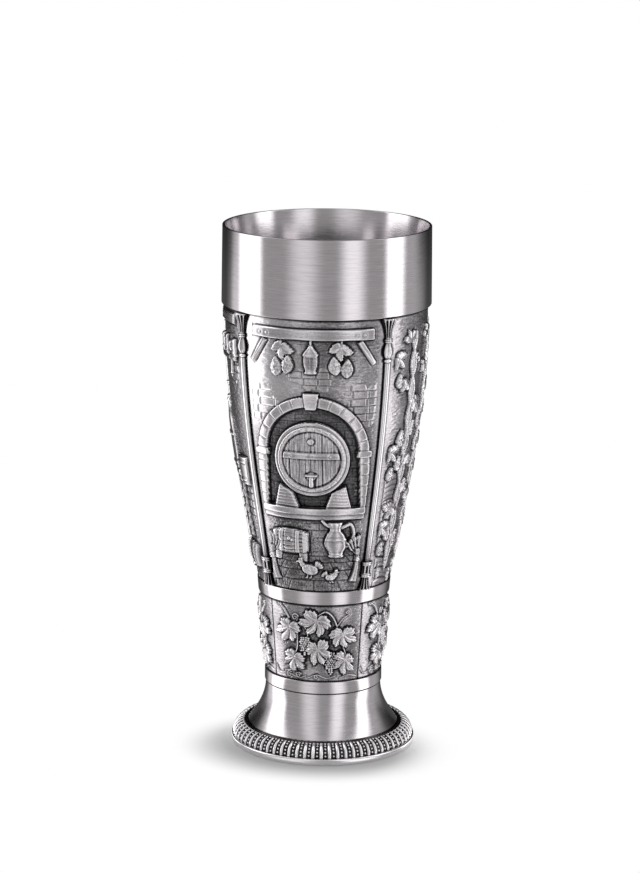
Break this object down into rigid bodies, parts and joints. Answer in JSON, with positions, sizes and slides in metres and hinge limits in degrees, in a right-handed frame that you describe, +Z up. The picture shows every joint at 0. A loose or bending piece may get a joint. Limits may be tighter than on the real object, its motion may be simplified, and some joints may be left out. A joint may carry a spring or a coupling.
{
  "type": "beer beaker",
  "caption": "Tall handleless pewter beer beaker: plain turned lip collar, cast relief wall between slender colonnettes, vine-leaf frieze and flared foot with a ribbed edge.",
  "frame": {"origin": "centre of the flat face that the foot ring stands on", "axes": "+Z up along the beaker's axis, -Y towards the front relief panel, +X to its right as seen from the front"},
  "size_m": [0.0806, 0.0806, 0.205],
  "materials": {
    "turned_pewter": "plain pewter with fine turning lines round the axis",
    "cast_pewter": "antiqued pewter relief, dark in the hollows and rubbed bright on the high points"
  },
  "bodies": {
    "root": {"lip_collar": "turned_pewter", "inner_cup": "turned_pewter", "scene_panel_front": "cast_pewter", "scene_panel_right": "cast_pewter", "scene_panel_back": "cast_pewter", "scene_panel_left": "cast_pewter", "vine_panel_front": "cast_pewter", "vine_panel_right": "cast_pewter", "vine_panel_back": "cast_pewter", "vine_panel_left": "cast_pewter", "colonnette_front_right": "cast_pewter", "colonnette_back_right": "cast_pewter", "colonnette_back_left": "cast_pewter", "colonnette_front_left": "cast_pewter", "waist_band": "turned_pewter", "stem_band": "turned_pewter", "foot_flare": "turned_pewter", "foot_ring": "cast_pewter"}
  },
  "joints": []
}
